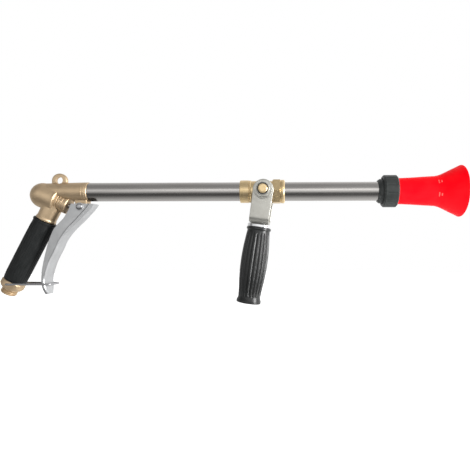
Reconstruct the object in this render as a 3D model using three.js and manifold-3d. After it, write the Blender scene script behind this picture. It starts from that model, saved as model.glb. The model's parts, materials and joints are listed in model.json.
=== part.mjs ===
// Trigger lance with a flared jet shroud: hand valve, two tubes, side handle and twist head.
// Millimetres, +Z up. The lance axis runs along +X, from the hand valve to the shroud.
import * as THREE from 'three';
import { mergeVertices } from 'three/addons/utils/BufferGeometryUtils.js';
import Module from 'manifold-3d';

const wasm = await Module();
wasm.setup();

// Driving dimensions
const GAP = 0.3; // between pieces that touch
const ROUND = 24; // facets around the large turned pieces
const SMALL_ROUND = 14; // facets around the small ones
const CENTRE = new THREE.Vector3(-51, 0, -58.3); // middle of the whole object, in lance coordinates

const TUBE_R = 12.5; // lance tubes
const TUBE_BORE_R = 10.5;

const BALL_X = -301.3; // centre of the valve body's domed back
const BALL_Z = -4.3;
const CHAMBER_R = 17;
const CHAMBER_TILT = 22; // degrees that the valve chamber points below the lance
const CHAMBER_END = 22.5;
const CHAMBER_BORE_R = 12;
const OUTLET_R = 13.1; // at its end; it narrows towards the dome
const OUTLET_END_X = -237;
const SOCKET_X = -256; // shoulder of the outlet's tube socket
const SOCKET_R = 10.3;
const NUT_R = 12;
const NUT_END = 38.5;
const STEM_R = 3;
const STEM_END = 50;

const EYE_X = -278; // hanging eyelet
const EYE_Z = 16.8;
const EYE_R = 9.6;
const EYE_HOLE_R = 5;
const EYE_THICK = 5.4;

const GRIP_X = -298.9; // top centre of the rear grip sleeve
const GRIP_Z = -38.6;
const GRIP_TILT = 117.7; // turns +X to point down the rear grip
const GRIP_LENGTH = 92.4;
const GRIP_R = 15;
const PIPE_R = 9;
const PIPE_BORE_R = 6;
const NECK_R = 12.7;
const BAIL_AT = 97; // distance of the bail's pivot down the grip
const INLET_END = 112;
const THREAD_R = 10.4; // hose thread, half-inch pipe size

const PIN_X = -246; // trigger pivot
const PIN_Z = -20.7;
const PIN_R = 3;
const TRIGGER_HALF = 12; // half the trigger's width
const TRIGGER_WALL = 2.6;
const LUG_HALF = 7;

const FIT_LEFT = -31.7; // mid fitting
const FIT_RIGHT = 27.6;
const FIT_R = 15;
const HEX_FLAT = 15; // half the width across the fitting's hexagon
const BOSS_END = 20;
const STUD_R = 6;

const HANDLE_TILT = 98; // turns +X to point down the side handle
const STRAP_IN = 20.3; // inner face of the strap's legs, either side of the lance
const STRAP_T = 4;
const STRAP_HALF = 12; // half the strap's width
const STRAP_DROP = 43; // stud to the underside of the strap
const SIDE_GRIP_TOP = 48.5;
const SIDE_GRIP_LENGTH = 101.3;

const COLLAR_X = 149.5; // rear end of the nozzle body
const RING_X = 155.8;
const RING_END = 174.7;
const RING_R = 21.1;
const SHROUD_X = 175;
const SHROUD_END = 257.7;
const SHROUD_RIM_R = 34.1;
const SHROUD_WALL = 2.5;

const rad = THREE.MathUtils.degToRad;

// Finishes
function finish(color, roughness, metalness) {
  return new THREE.MeshStandardMaterial({ color, roughness, metalness });
}
const castBrass = finish(0xa5876a, 0.45, 0.9);
const turnedBrass = finish(0xc39b5f, 0.3, 0.95);
const castAluminium = finish(0xa6a8aa, 0.5, 0.9);
const steel = finish(0x9a9a9c, 0.3, 0.95);
const zinc = finish(0xb9b8b4, 0.4, 0.9);
const chrome = finish(0xe0e0e2, 0.12, 1);
const rubber = finish(0x151617, 0.6, 0);
const seal = finish(0x222222, 0.7, 0);
const blackPlastic = finish(0x3c3e3c, 0.55, 0);
const redPlastic = finish(0xf00516, 0.4, 0);

// A closed geometry, turned the right way out, as a solid that can be cut and joined.
function solid(geometry) {
  const bare = geometry.clone();
  bare.deleteAttribute('normal');
  bare.deleteAttribute('uv');
  const merged = mergeVertices(bare, 1e-4);
  const vertProperties = new Float32Array(merged.attributes.position.array);
  const kept = [];
  const index = merged.index.array;
  for (let i = 0; i < index.length; i += 3) {
    const [a, b, c] = [index[i], index[i + 1], index[i + 2]];
    if (a !== b && b !== c && a !== c) kept.push(a, b, c);
  }
  if (signedVolume(vertProperties, kept) < 0) kept.reverse();
  return new wasm.Manifold(new wasm.Mesh({ numProp: 3, vertProperties, triVerts: new Uint32Array(kept) }));
}

function signedVolume(points, triangles) {
  const corner = (i) => new THREE.Vector3().fromArray(points, 3 * triangles[i]);
  let sum = 0;
  for (let i = 0; i < triangles.length; i += 3) {
    sum += corner(i).dot(corner(i + 1).cross(corner(i + 2)));
  }
  return sum;
}

function piece(name, shape, material, group) {
  const { vertProperties, triVerts } = shape.getMesh();
  const geometry = new THREE.BufferGeometry();
  geometry.setAttribute('position', new THREE.BufferAttribute(new Float32Array(vertProperties), 3));
  geometry.setIndex(new THREE.BufferAttribute(new Uint32Array(triVerts), 1));
  geometry.computeVertexNormals();
  const mesh = new THREE.Mesh(geometry, material);
  mesh.name = name;
  group.add(mesh);
  return mesh;
}

// A closed outline of [distance along +X, radius] points, turned about the X axis.
function turned(outline, facets = ROUND) {
  const profile = outline.map(([x, r]) => new THREE.Vector2(r, x));
  const closed = profile[0].x > 0 || profile[profile.length - 1].x > 0;
  if (closed) profile.push(profile[0].clone());
  const geometry = new THREE.LatheGeometry(profile, facets);
  geometry.rotateZ(-Math.PI / 2);
  return solid(geometry);
}

const rod = (from, to, r, facets = SMALL_ROUND) => turned([[from, 0], [from, r], [to, r], [to, 0]], facets);

const ring = (from, to, outer, inner, facets = SMALL_ROUND) =>
  turned([[from, inner], [from, outer], [to, outer], [to, inner]], facets);

// A rod along Y at (x, z)
function crossRod(x, z, from, to, r, facets = SMALL_ROUND) {
  const geometry = new THREE.CylinderGeometry(r, r, to - from, facets);
  geometry.translate(x, (from + to) / 2, z);
  return solid(geometry);
}

// A flat outline of [x, z] points, extruded along Y from `from` to `to`
function plate(outline, from, to) {
  const shape = new THREE.Shape(outline.map(([x, z]) => new THREE.Vector2(x, -z)));
  const geometry = new THREE.ExtrudeGeometry(shape, { depth: to - from, bevelEnabled: false });
  geometry.rotateX(-Math.PI / 2);
  geometry.rotateX(Math.PI);
  geometry.scale(1, 1, -1);
  geometry.computeBoundingBox();
  geometry.translate(0, from - geometry.boundingBox.min.y, 0);
  return solid(geometry);
}

function box(low, high) {
  const size = high.map((v, i) => v - low[i]);
  const geometry = new THREE.BoxGeometry(...size);
  geometry.translate(...high.map((v, i) => (v + low[i]) / 2));
  return solid(geometry);
}

// A hexagonal nut along Y, with a corner pointing straight down
function hexNut(from, to, flatHalf, bore) {
  const corner = flatHalf / Math.cos(Math.PI / 6);
  const geometry = new THREE.CylinderGeometry(corner, corner, to - from, 6);
  geometry.translate(0, (from + to) / 2, 0);
  return solid(geometry).subtract(crossRod(0, 0, from - 1, to + 1, bore));
}

// Moves a solid made along +X to start at (x, 0, z) and point `tilt` degrees below +X
function aimed(shape, x, z, tilt) {
  const m = new THREE.Matrix4().makeRotationY(rad(tilt));
  m.setPosition(x, 0, z);
  return shape.transform(m.elements);
}

function tiltedGroup(x, z, tilt) {
  const group = new THREE.Group();
  group.position.set(x, 0, z);
  group.rotation.y = rad(tilt);
  return group;
}

const WIRE_SIDES = 8;
const wireSection = (r) => new THREE.Shape(Array.from({ length: WIRE_SIDES }, (_, i) => {
  const a = (2 * Math.PI * i) / WIRE_SIDES;
  return new THREE.Vector2(r * Math.cos(a), r * Math.sin(a));
}));

// A round wire along a list of points, with rounded corners
function wire(points, r, steps) {
  const path = new THREE.CatmullRomCurve3(points.map((p) => new THREE.Vector3(...p)), false, 'centripetal');
  return solid(new THREE.ExtrudeGeometry(wireSection(r), { steps, extrudePath: path }));
}

// A smooth curve through a list of [x, z] points, as `count` + 1 points
function smooth(points, count) {
  const curve = new THREE.SplineCurve(points.map(([x, z]) => new THREE.Vector2(x, z)));
  return curve.getPoints(count).map((p) => [p.x, p.y]);
}

const lance = new THREE.Group();
lance.position.copy(CENTRE).negate();
const chamber = tiltedGroup(BALL_X, BALL_Z, CHAMBER_TILT);
const grip = tiltedGroup(GRIP_X, GRIP_Z, GRIP_TILT);
const sideHandle = tiltedGroup(0, 0, HANDLE_TILT);
lance.add(chamber, grip, sideHandle);

// Valve body: dome and chamber, outlet, neck, eyelet and the lug for the trigger's pin
function valveBody() {
  const dome = new THREE.SphereGeometry(CHAMBER_R, ROUND, 12);
  dome.rotateZ(Math.PI / 2);
  const barrel = turned([[0, 0], [0, CHAMBER_R], [CHAMBER_END - 1.5, CHAMBER_R],
    [CHAMBER_END, CHAMBER_R - 1.5], [CHAMBER_END, 0]]);
  const step = rod(CHAMBER_END - 1, CHAMBER_END + 3, CHAMBER_BORE_R + 1.4, ROUND);
  const chamberCore = solid(dome).add(barrel).add(step);
  const outlet = turned([[BALL_X, 0], [BALL_X, OUTLET_R - 1], [EYE_X, OUTLET_R - 0.7],
    [OUTLET_END_X - 10, OUTLET_R], [OUTLET_END_X - 1, OUTLET_R], [OUTLET_END_X, OUTLET_R - 1],
    [OUTLET_END_X, 0]]);
  const neck = turned([[-32, 0], [-32, NECK_R], [-3.2, NECK_R], [-2.6, NECK_R + 0.7], [-0.9, NECK_R + 0.7],
    [-GAP, NECK_R - 0.2], [-GAP, 0]]);
  const eyeFoot = [[EYE_X - 14, 9], [EYE_X - 11, 13.5], [EYE_X - EYE_R, EYE_Z], [EYE_X + EYE_R, EYE_Z],
    [EYE_X + 10.6, 13.5], [EYE_X + 13.5, 9]];
  const eyelet = crossRod(EYE_X, EYE_Z, -EYE_THICK / 2, EYE_THICK / 2, EYE_R, ROUND)
    .add(plate(eyeFoot, -EYE_THICK / 2, EYE_THICK / 2));
  const lug = plate([[-257, -8], [-252, -21], [-240, -21], [-238.5, -8]], -LUG_HALF, LUG_HALF)
    .add(crossRod(PIN_X, PIN_Z, -LUG_HALF, LUG_HALF, PIN_R + 1.7));

  const inChamber = (from, to, r, facets) => aimed(rod(from, to, r, facets), BALL_X, BALL_Z, CHAMBER_TILT);
  const nutRoom = inChamber(CHAMBER_END + 3.2, NUT_END + 3.5, NUT_R + 0.5, ROUND);
  const stemRoom = inChamber(NUT_END, STEM_END + 4, STEM_R + 1);
  const chamberBore = inChamber(-10, CHAMBER_END + 4, CHAMBER_BORE_R, ROUND);
  const port = aimed(rod(8, 18, 2), BALL_X + 17.8, BALL_Z - 7.2, CHAMBER_TILT - 90);
  const passage = rod(-281, SOCKET_X + 1, 5).transform(new THREE.Matrix4().makeTranslation(0, 0, 5.2).elements);
  const socket = rod(SOCKET_X, OUTLET_END_X + 1, SOCKET_R, ROUND);
  const inletBore = aimed(rod(-34, 0, PIPE_BORE_R), GRIP_X - 3, GRIP_Z, GRIP_TILT);
  const pipeSocket = aimed(rod(-14, 1, PIPE_R + GAP), GRIP_X, GRIP_Z, GRIP_TILT);

  return aimed(chamberCore, BALL_X, BALL_Z, CHAMBER_TILT)
    .add(outlet)
    .add(aimed(neck, GRIP_X, GRIP_Z, GRIP_TILT))
    .subtract(nutRoom)
    .add(eyelet)
    .add(lug)
    .subtract(stemRoom)
    .subtract(chamberBore)
    .subtract(port)
    .subtract(passage)
    .subtract(socket)
    .subtract(inletBore)
    .subtract(pipeSocket)
    .subtract(crossRod(EYE_X, EYE_Z, -EYE_THICK, EYE_THICK, EYE_HOLE_R))
    .subtract(crossRod(PIN_X, PIN_Z, -LUG_HALF - 1, LUG_HALF + 1, PIN_R + GAP));
}
piece('valve_body', valveBody(), castBrass, lance);

// Valve train, laid out along the chamber from its domed back
const SEAT_AT = 14;
const seatGap = CHAMBER_BORE_R - GAP;
piece('valve_seat', ring(SEAT_AT, SEAT_AT + 3, seatGap, 6), turnedBrass, chamber);
piece('poppet_seal', ring(11.4, 13.7, 8.4, 6.2), seal, chamber);
piece('valve_poppet', turned([[4, 0], [4, 5], [7, 5], [7, 9], [11, 9], [11, 5.9], [13.5, 5.9], [13.5, 3.3],
  [6, 3.3], [6, 0]], SMALL_ROUND), turnedBrass, chamber);
piece('valve_stem', turned([[6.4, 0], [6.4, STEM_R], [STEM_END - 1, STEM_R], [STEM_END, STEM_R - 1.2],
  [STEM_END, 0]], SMALL_ROUND), steel, chamber);

class Coil extends THREE.Curve {
  constructor(radius, from, length, turns) {
    super();
    Object.assign(this, { radius, from, length, turns });
  }

  getPoint(t) {
    const a = 2 * Math.PI * this.turns * t;
    return new THREE.Vector3(this.from + this.length * t, this.radius * Math.cos(a), this.radius * Math.sin(a));
  }
}
const SPRING_TURNS = 4;
const SPRING_WIRE_R = 0.7;
piece('valve_spring', solid(new THREE.ExtrudeGeometry(wireSection(SPRING_WIRE_R), {
  steps: SPRING_TURNS * 10,
  extrudePath: new Coil(6.6, -8.4, 14, SPRING_TURNS),
})), steel, chamber);

const NUT_START = CHAMBER_END + 3 + GAP;
piece('gland_nut', turned([[21.5, 6.6], [21.5, 11.6], [NUT_START, 11.6], [NUT_START, NUT_R],
  [29.5, NUT_R], [30, NUT_R - 0.5], [31, NUT_R - 0.5], [31.5, NUT_R], [NUT_END - 1.2, NUT_R],
  [NUT_END, NUT_R - 1.2], [NUT_END, STEM_R + GAP], [30, STEM_R + GAP], [30, 6.6]]), turnedBrass, chamber);
piece('stem_packing', ring(22, 29.6, 6.3, STEM_R + GAP), seal, chamber);

// Trigger: a cast channel that is deep at its pivot and shallow at its toe
function triggerShape() {
  const front = smooth([[-229.1, -16.3], [-234.5, -22.9], [-241.5, -29.9], [-255.7, -43.7], [-268.8, -57.5],
    [-273.8, -64.5], [-279.7, -78.4], [-286.6, -92.3], [-291.3, -106.2], [-294, -118]], 16);
  const toe = [[-293.9, -124], [-292, -131], [-290.9, -136], [-292, -137.6], [-294.8, -137], [-297.2, -130]];
  const rear = smooth([[-298.6, -121], [-297.4, -105.3], [-292.9, -83.5], [-288, -65.7], [-281, -50],
    [-267, -34.4], [-260.5, -22]], 14);
  const outline = [...front, ...toe, ...rear, [-258.2, -16.3]];
  const skin = plate(outline, -TRIGGER_HALF, TRIGGER_HALF);
  const inner = front.map(([x, z]) => [x - 2.4, z + 0.6]);
  const hollow = [[-226, -10], [-231.5, -16.3], ...inner.slice(1, -1), [-296.5, -116], [-312, -118],
    [-300, -60], [-272, -10]];
  const halfRoom = TRIGGER_HALF - TRIGGER_WALL;
  const padFace = box([STEM_END + 0.4, -5, -5], [56, 5, 0.3]);
  const padRoot = box([STEM_END + 0.4, -5, -9], [70, 5, -3.2]);
  const pad = aimed(padFace.add(padRoot), BALL_X, BALL_Z, CHAMBER_TILT).intersect(plate(outline, -6, 6));
  return skin
    .subtract(plate(hollow, -halfRoom, halfRoom))
    .add(pad)
    .subtract(crossRod(PIN_X, PIN_Z, -TRIGGER_HALF - 1, TRIGGER_HALF + 1, PIN_R + GAP));
}
piece('trigger', triggerShape(), castAluminium, lance);
piece('trigger_pin', crossRod(PIN_X, PIN_Z, -12.5, 15.5, PIN_R).add(crossRod(PIN_X, PIN_Z, -14.6, -12.4, 4.6)),
  steel, lance);
piece('pin_clip', crossRod(PIN_X, PIN_Z, 12.5, 13.7, 5).subtract(crossRod(PIN_X, PIN_Z, 12, 15, PIN_R + GAP)),
  steel, lance);

// Rear grip: pipe, sleeve, inlet ferrule and what sits in the inlet
const PIPE_END = BAIL_AT + 1;
piece('handle_pipe', ring(-13.5, PIPE_END, PIPE_R, PIPE_BORE_R), turnedBrass, grip);
piece('rear_grip_sleeve', turned([[0, PIPE_R + GAP], [0, GRIP_R + 0.4], [2.5, GRIP_R + 0.4],
  [3.5, GRIP_R - 0.3], [20, GRIP_R], [60, GRIP_R], [GRIP_LENGTH - 3, GRIP_R - 0.2],
  [GRIP_LENGTH, GRIP_R - 0.8], [GRIP_LENGTH, PIPE_R + GAP]]), rubber, grip);
const INLET_BORE_R = 7.2;
const BAIL_WIRE_R = 1.4;
function ferrule() {
  const bore = INLET_BORE_R;
  const shell = turned([[GRIP_LENGTH + GAP, PIPE_R + GAP], [GRIP_LENGTH + GAP, 14.4],
    [GRIP_LENGTH + 1.8, 15.3], [100.5, 15.3], [103, 13.6], [104, 11.4], [104.4, 9.4], [105.4, 9.4],
    [106, THREAD_R], [INLET_END - 1, THREAD_R], [INLET_END, THREAD_R - 1], [INLET_END, bore],
    [PIPE_END + GAP, bore], [PIPE_END + GAP, PIPE_R + GAP]]);
  return shell.subtract(crossRod(BAIL_AT, 0, -17, -10.5, BAIL_WIRE_R + GAP))
    .subtract(crossRod(BAIL_AT, 0, 10.5, 17, BAIL_WIRE_R + GAP));
}
piece('inlet_ferrule', ferrule(), castBrass, grip);
piece('inlet_strainer', turned([[100, 4.6], [100, 5.6], [107, 6.7], [110.5, 6.7], [110.5, 5.6], [107, 5.6]],
  SMALL_ROUND), steel, grip);

// Lock bail: one bent wire, hinged in the ferrule's sides, that loops round the trigger's toe
const bailX = GRIP_X + BAIL_AT * Math.cos(rad(GRIP_TILT));
const bailZ = GRIP_Z - BAIL_AT * Math.sin(rad(GRIP_TILT));
function bail() {
  const bends = [[0, 11.5], [0, 15], [0.6, 17], [2.6, 17.6], [16, 16.6], [49, 14.4], [56, 12.6], [58.6, 8]];
  const half = (side) => bends.map(([x, y]) => [bailX + x, side * y, bailZ]);
  return wire([...half(-1), ...half(1).reverse()], BAIL_WIRE_R, 48);
}
piece('lock_bail', bail(), steel, lance);

// Lance tubes, with turned-down spigots for the valve's outlet
const REAR_TUBE_END = -17;
const FRONT_TUBE_START = 15;
const FRONT_TUBE_END = 158;
piece('rear_tube', turned([[SOCKET_X + 1, 8], [SOCKET_X + 1, SOCKET_R - GAP],
  [OUTLET_END_X + GAP, SOCKET_R - GAP], [OUTLET_END_X + GAP, TUBE_R], [REAR_TUBE_END, TUBE_R],
  [REAR_TUBE_END, TUBE_BORE_R], [OUTLET_END_X + 2, TUBE_BORE_R], [OUTLET_END_X, 8]]), steel, lance);
piece('front_tube', ring(FRONT_TUBE_START, FRONT_TUBE_END, TUBE_R, TUBE_BORE_R, ROUND), steel, lance);

// Mid fitting: round collar, boss for the side handle's studs, hexagon and rim
function midFitting() {
  const collar = turned([[FIT_LEFT, 0], [FIT_LEFT, FIT_R - 0.8], [FIT_LEFT + 0.8, FIT_R], [-19.8, FIT_R],
    [-19.3, FIT_R - 0.6], [-18.6, FIT_R - 0.6], [-18.1, FIT_R], [-17, 14], [11.4, 14], [11.4, 0]]);
  const corner = HEX_FLAT / Math.cos(Math.PI / 6);
  const hexagon = new THREE.CylinderGeometry(corner, corner, 11.1, 6);
  hexagon.rotateZ(Math.PI / 2);
  hexagon.rotateX(Math.PI / 2);
  hexagon.translate(16.85, 0, 0);
  const rim = turned([[22, 0], [22, 15.6], [FIT_RIGHT - 1.4, 15.6], [FIT_RIGHT, 14.2], [FIT_RIGHT, 0]]);
  return collar.add(solid(hexagon)).add(rim)
    .add(crossRod(0, 0, -BOSS_END, BOSS_END, 9.5, ROUND))
    .subtract(rod(FIT_LEFT - 1, REAR_TUBE_END + GAP, TUBE_R + GAP, ROUND))
    .subtract(rod(FRONT_TUBE_START - GAP, FIT_RIGHT + 1, TUBE_R + GAP, ROUND))
    .subtract(rod(FIT_LEFT, FIT_RIGHT, 9, ROUND))
    .subtract(crossRod(0, 0, -BOSS_END - 1, -11.5, STUD_R + GAP))
    .subtract(crossRod(0, 0, 11.5, BOSS_END + 1, STUD_R + GAP));
}
piece('mid_fitting', midFitting(), turnedBrass, lance);

// Side handle: a stud, washer and lock nut each side, a bent strap, and a grip on a bolt
const STRAP_OUT = STRAP_IN + STRAP_T;
const NUT_IN = STRAP_OUT + 2;
const NUT_OUT = NUT_IN + 8;
const STUD_END = NUT_OUT + 2.6;
const WASHER_R = 12;
const NUT_FLAT = 9.5; // half the width across the lock nuts
for (const [side, sign] of [['near', -1], ['far', 1]]) {
  const span = (from, to) => [sign * from, sign * to].sort((a, b) => a - b);
  const washer = crossRod(0, 0, ...span(STRAP_OUT + GAP, NUT_IN - GAP), WASHER_R)
    .subtract(crossRod(0, 0, ...span(STRAP_OUT - 1, NUT_IN + 1), STUD_R + GAP));
  piece(`${side}_stud`, crossRod(0, 0, ...span(11.8, STUD_END), STUD_R), turnedBrass, lance);
  piece(`${side}_washer`, washer, zinc, sideHandle);
  piece(`${side}_lock_nut`, hexNut(...span(NUT_IN, NUT_OUT), NUT_FLAT, STUD_R + GAP), zinc, lance);
}

const BOLT_R = 4;
function strap() {
  const outline = [[0, -STRAP_HALF], [STRAP_DROP, -STRAP_HALF - 0.6], [STRAP_DROP, STRAP_HALF + 0.6],
    [0, STRAP_HALF]];
  const leg = plate(outline, -STRAP_OUT, STRAP_OUT)
    .add(crossRod(0, 0, -STRAP_OUT, STRAP_OUT, STRAP_HALF + 1.2, ROUND));
  const innerTop = box([-20, -STRAP_IN, -20], [STRAP_DROP - STRAP_T - 3, STRAP_IN, 20]);
  const innerRound = box([-20, -STRAP_IN + 3, -20], [STRAP_DROP - STRAP_T, STRAP_IN - 3, 20]);
  return leg.subtract(innerTop).subtract(innerRound)
    .subtract(crossRod(0, 0, -STRAP_OUT - 1, STRAP_OUT + 1, STUD_R + GAP))
    .subtract(rod(STRAP_DROP - 8, STRAP_DROP + 2, BOLT_R + GAP));
}
piece('handle_strap', strap(), zinc, sideHandle);
const BOLT_SEAT = STRAP_DROP - STRAP_T; // the strap's inner face, that the bolt's head bears on
const CAP_START = STRAP_DROP + GAP;
const CAP_END = SIDE_GRIP_TOP - GAP;
piece('grip_cap_washer', turned([[CAP_START, BOLT_R + GAP], [CAP_START, 14.2], [CAP_START + 1.3, 15.6],
  [CAP_END, 15.6], [CAP_END, BOLT_R + GAP]]), chrome, sideHandle);
piece('grip_bolt', turned([[BOLT_SEAT - 6, 0], [BOLT_SEAT - 6, 6.5], [BOLT_SEAT - GAP, 6.5],
  [BOLT_SEAT - GAP, BOLT_R], [138, BOLT_R], [138, 0]]), steel, sideHandle);

const gripEnd = SIDE_GRIP_TOP + SIDE_GRIP_LENGTH;
const BOLT_ROOM = 5;
piece('side_grip', turned([[SIDE_GRIP_TOP, BOLT_ROOM], [SIDE_GRIP_TOP, 16.2], [SIDE_GRIP_TOP + 3, 16.2],
  [SIDE_GRIP_TOP + 5, 15], [SIDE_GRIP_TOP + 20, 16.6], [SIDE_GRIP_TOP + 42, 17.9], [SIDE_GRIP_TOP + 66, 17.4],
  [SIDE_GRIP_TOP + 86, 15.4], [gripEnd - 7, 14.8], [gripEnd - 3.6, 16.4], [gripEnd, 16], [gripEnd, 0],
  [140, 0], [140, BOLT_ROOM]]), rubber, sideHandle);

// Nozzle: fixed body on the front tube, and a twist head of ring, sleeve, shroud and jet tip
const NOSE_R = 10.2;
const NOSE_END = 192;
piece('nozzle_body', turned([[COLLAR_X, TUBE_R + GAP], [COLLAR_X, 14.2], [COLLAR_X + 2.5, 16], [172, 16],
  [172, NOSE_R], [183.5, NOSE_R], [183.5, 8.9], [186.5, 8.9], [186.5, NOSE_R], [NOSE_END, NOSE_R],
  [NOSE_END, 7.8], [FRONT_TUBE_END + GAP, 7.8], [FRONT_TUBE_END + GAP, TUBE_R + GAP]]), turnedBrass, lance);
piece('nozzle_seal', ring(183.8, 186.2, 10.35, 9.2), seal, lance);
piece('ring_nut', turned([[RING_X, 17], [RING_X, RING_R - 1.6], [RING_X + 1.6, RING_R],
  [RING_END - 1.6, RING_R], [RING_END, RING_R - 1.6], [RING_END, 17]]), blackPlastic, lance);
piece('head_sleeve', turned([[172.3, NOSE_R + 0.4], [172.3, 15], [194, 15], [194, 13], [200, 13], [200, 9.4],
  [195, 9.4], [195, NOSE_R + 0.4]]), turnedBrass, lance);
piece('jet_tip', turned([[196.4, 4.6], [196.4, 9.1], [203, 9.1], [206.5, 6.2], [206.5, 2.2], [201, 2.2]],
  SMALL_ROUND), turnedBrass, lance);
piece('swirl_core', turned([[182, 0], [182, 7.4], [191.5, 7.4], [194.5, 3.2], [197.8, 1.6], [197.8, 0]],
  SMALL_ROUND), turnedBrass, lance);

function shroud() {
  const flare = smooth([[223.6, 19.6], [233, 22.5], [244, 27.9], [253, 32.2],
    [SHROUD_END - 2, SHROUD_RIM_R - 0.4]], 7);
  const inside = flare.map(([x, r]) => [x + 0.8, r - SHROUD_WALL]).reverse();
  return turned([[172.6, 15.4], [172.6, 16.6], [SHROUD_X - 0.2, 16.6], [SHROUD_X, 17], [190, 17.6],
    ...flare, [SHROUD_END - 0.5, SHROUD_RIM_R - 0.2], [SHROUD_END, SHROUD_RIM_R - 1.2], ...inside,
    [206, 15.9], [194, 15.4]]);
}
piece('red_shroud', shroud(), redPlastic, lance);

export default lance;
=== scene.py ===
import json
import math

import bmesh
import bpy
import numpy as np
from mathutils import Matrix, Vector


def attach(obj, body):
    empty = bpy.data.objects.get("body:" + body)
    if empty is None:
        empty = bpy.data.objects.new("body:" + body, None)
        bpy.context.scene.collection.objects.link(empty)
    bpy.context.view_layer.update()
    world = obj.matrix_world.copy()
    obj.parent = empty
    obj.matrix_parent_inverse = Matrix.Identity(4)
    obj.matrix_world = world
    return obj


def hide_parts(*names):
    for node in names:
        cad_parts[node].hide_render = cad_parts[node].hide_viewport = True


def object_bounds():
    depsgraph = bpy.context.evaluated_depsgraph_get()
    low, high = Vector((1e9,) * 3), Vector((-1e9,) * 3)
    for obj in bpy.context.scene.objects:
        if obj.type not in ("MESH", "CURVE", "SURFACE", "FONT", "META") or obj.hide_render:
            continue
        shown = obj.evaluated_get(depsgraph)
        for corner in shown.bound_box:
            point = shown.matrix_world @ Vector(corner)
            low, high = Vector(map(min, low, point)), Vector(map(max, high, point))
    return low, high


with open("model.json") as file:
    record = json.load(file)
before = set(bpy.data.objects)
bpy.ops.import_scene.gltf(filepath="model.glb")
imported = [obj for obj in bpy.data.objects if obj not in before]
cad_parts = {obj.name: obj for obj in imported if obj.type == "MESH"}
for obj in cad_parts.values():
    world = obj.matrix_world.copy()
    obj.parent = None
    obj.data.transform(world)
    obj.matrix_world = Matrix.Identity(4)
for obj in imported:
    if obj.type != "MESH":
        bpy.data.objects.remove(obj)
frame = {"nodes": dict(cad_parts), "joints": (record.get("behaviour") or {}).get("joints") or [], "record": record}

cadBox = [list(corner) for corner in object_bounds()]
joints = {joint["name"]: joint for joint in frame["joints"]}
mm = 0.001

# The lance's own axes: its origin is the side handle's pivot, x runs to the shroud and z is up
lanceOrigin = np.array(joints["handle_tilt"]["pos_m"])
xAxis, yAxis, zAxis = np.eye(3)
print("frame loaded")


def axesAt(x, z, tilt):
    # origin in metres, then unit vectors along, across and up, turned down by tilt degrees
    a = math.radians(tilt)
    along = np.array([math.cos(a), 0.0, -math.sin(a)])
    up = np.array([math.sin(a), 0.0, math.cos(a)])
    return lanceOrigin + np.array([x, 0.0, z]) * mm, along, yAxis, up


lanceAxes = axesAt(0, 0, 0)
chamberAxes = axesAt(-301.3, -4.3, 22)
gripAxes = axesAt(-298.9, -38.6, 117.7)
handleAxes = axesAt(0, 0, 98)
# Pieces turned about the stud: their length runs along y
studAxes = (lanceOrigin, yAxis, zAxis, xAxis)
pinAxes = (np.array(joints["trigger_pull"]["pos_m"]), yAxis, zAxis, xAxis)


def place(axes, along, across, up):
    origin, a, b, c = axes
    spot = [np.asarray(v, float)[..., None] * mm for v in (along, across, up)]
    return origin + spot[0] * a + spot[1] * b + spot[2] * c


def makeMesh(name, axes, along, across, up, faces, material, smoothAngle=35):
    # the mesh also keeps each point's place in its own axes, in millimetres, so that patterns can
    # follow the piece
    lay = np.stack(np.broadcast_arrays(along, across, up), -1).reshape(-1, 3).astype(np.float32)
    points = place(axes, lay[:, 0], lay[:, 1], lay[:, 2])
    mesh = bpy.data.meshes.new(name)
    mesh.from_pydata(points.tolist(), [], faces if isinstance(faces, list) else faces.tolist())
    mesh.attributes.new("lay", "FLOAT_VECTOR", "POINT").data.foreach_set("vector", lay.ravel())
    obj = bpy.data.objects.new(name, mesh)
    bpy.context.scene.collection.objects.link(obj)
    mesh.materials.append(material)
    mergePoints(obj)
    mesh.shade_smooth()
    mesh.set_sharp_from_angle(angle=math.radians(smoothAngle))
    return outwards(obj)


def mergePoints(obj):
    work = bmesh.new()
    work.from_mesh(obj.data)
    bmesh.ops.remove_doubles(work, verts=work.verts, dist=2e-7)
    bmesh.ops.dissolve_degenerate(work, edges=work.edges, dist=1e-8)
    work.to_mesh(obj.data)
    work.free()


def outwards(obj):
    # turns the whole shell over where its signed volume is negative
    mesh = obj.data
    mesh.calc_loop_triangles()
    co = np.empty(len(mesh.vertices) * 3)
    mesh.vertices.foreach_get("co", co)
    tri = np.empty(len(mesh.loop_triangles) * 3, int)
    mesh.loop_triangles.foreach_get("vertices", tri)
    p = co.reshape(-1, 3)[tri.reshape(-1, 3)]
    if np.einsum("ij,ij->i", p[:, 0], np.cross(p[:, 1], p[:, 2])).sum() < 0:
        mesh.flip_normals()
    return obj


def gridFaces(rows, columns, closeRows, closeColumns):
    # quads of a rows x columns grid, joined round where a direction closes on itself
    i = np.arange(rows if closeRows else rows - 1)
    j = np.arange(columns if closeColumns else columns - 1)
    i, j = np.meshgrid(i, j, indexing="ij")
    nextI, nextJ = (i + 1) % rows, (j + 1) % columns
    corners = [i * columns + j, i * columns + nextJ, nextI * columns + nextJ, nextI * columns + j]
    return np.stack(corners, -1).reshape(-1, 4)


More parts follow.
